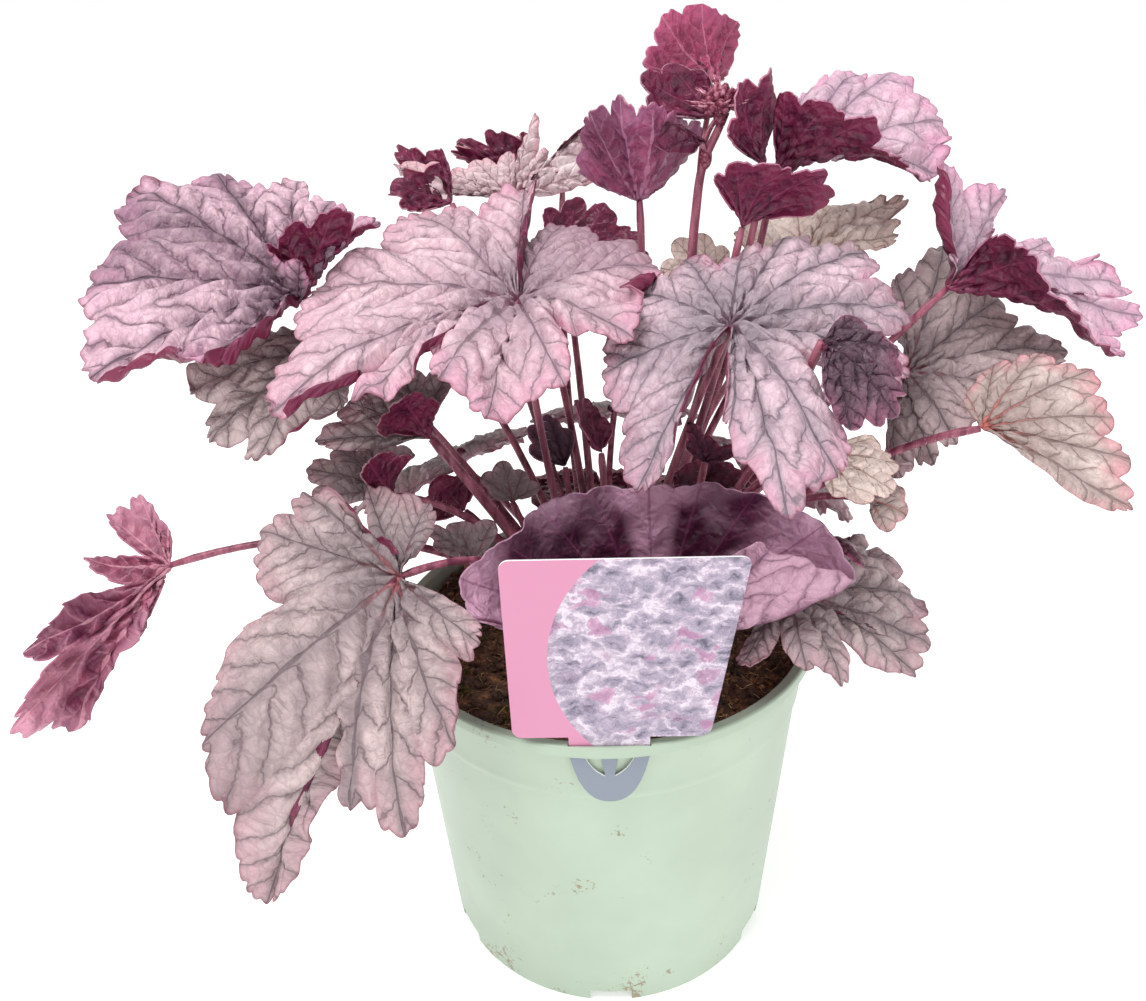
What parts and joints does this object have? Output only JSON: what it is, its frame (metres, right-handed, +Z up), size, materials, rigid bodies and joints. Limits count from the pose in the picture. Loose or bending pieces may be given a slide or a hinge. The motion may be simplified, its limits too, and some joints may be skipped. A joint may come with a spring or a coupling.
{
  "type": "potted heuchera plant",
  "caption": "Potted heuchera: a crown of lobed, ruffled plum and silver-pink leaves on long red stalks in a pale green nursery pot with a plant label.",
  "frame": {"origin": "middle of the pot's foot, on the surface it stands on", "axes": "+Z up along the pot's axis; the label stands at the front, towards -Y; +X is to the right seen from the front"},
  "size_m": [0.3424, 0.1988, 0.3219],
  "materials": {
    "pot": "satin",
    "soil": "matte",
    "label": "gloss",
    "stalks": "satin",
    "buds": "satin",
    "leaf_pink": "satin",
    "leaf_taupe": "satin",
    "leaf_wine": "satin",
    "leaf_plum": "satin",
    "leaf_straw": "satin"
  },
  "bodies": {
    "root": {"pot": "pot", "soil": "soil", "label": "label", "leaf_centre": "leaf_pink", "leaf_left": "leaf_pink", "leaf_left_low": "leaf_taupe", "leaf_mid_right": "leaf_pink", "leaf_puckered": "leaf_plum", "leaf_lattice": "leaf_straw", "leaf_lattice_small": "leaf_straw", "leaf_top": "leaf_wine", "leaf_top_low": "leaf_plum", "leaf_funnel": "leaf_wine", "leaf_bud_right": "leaf_wine", "leaf_top_right": "leaf_pink", "leaf_wine": "leaf_wine", "leaf_ruffled_left": "leaf_straw", "leaf_ruffled_mid": "leaf_wine", "leaf_ruffled_right": "leaf_straw", "leaf_crenate": "leaf_plum", "leaf_right": "leaf_pink", "leaf_olive": "leaf_taupe", "leaf_far_right": "leaf_straw", "leaf_folded": "leaf_straw", "leaf_tag": "leaf_straw", "leaf_lower_right": "leaf_taupe", "leaf_front": "leaf_plum", "leaf_front_left": "leaf_taupe", "leaf_curled": "leaf_taupe", "leaf_far_left": "leaf_wine", "leaf_fold_left": "leaf_taupe", "leaf_small_brown": "leaf_taupe", "leaf_small_crimson": "leaf_wine", "leaf_inner": "leaf_plum", "leaf_inner_left": "leaf_taupe", "leaf_inner_dark": "leaf_plum", "leaf_inner_right": "leaf_wine", "leaf_arched": "leaf_wine", "leaf_bud_front": "leaf_wine", "leaf_back_left": "leaf_pink", "leaf_back_right": "leaf_pink", "leaf_back": "leaf_taupe", "leaf_back_low_left": "leaf_taupe", "leaf_back_low_right": "leaf_taupe", "leaf_back_low": "leaf_straw", "crown_stalks": "stalks", "bud_head": "buds"}
  },
  "joints": []
}
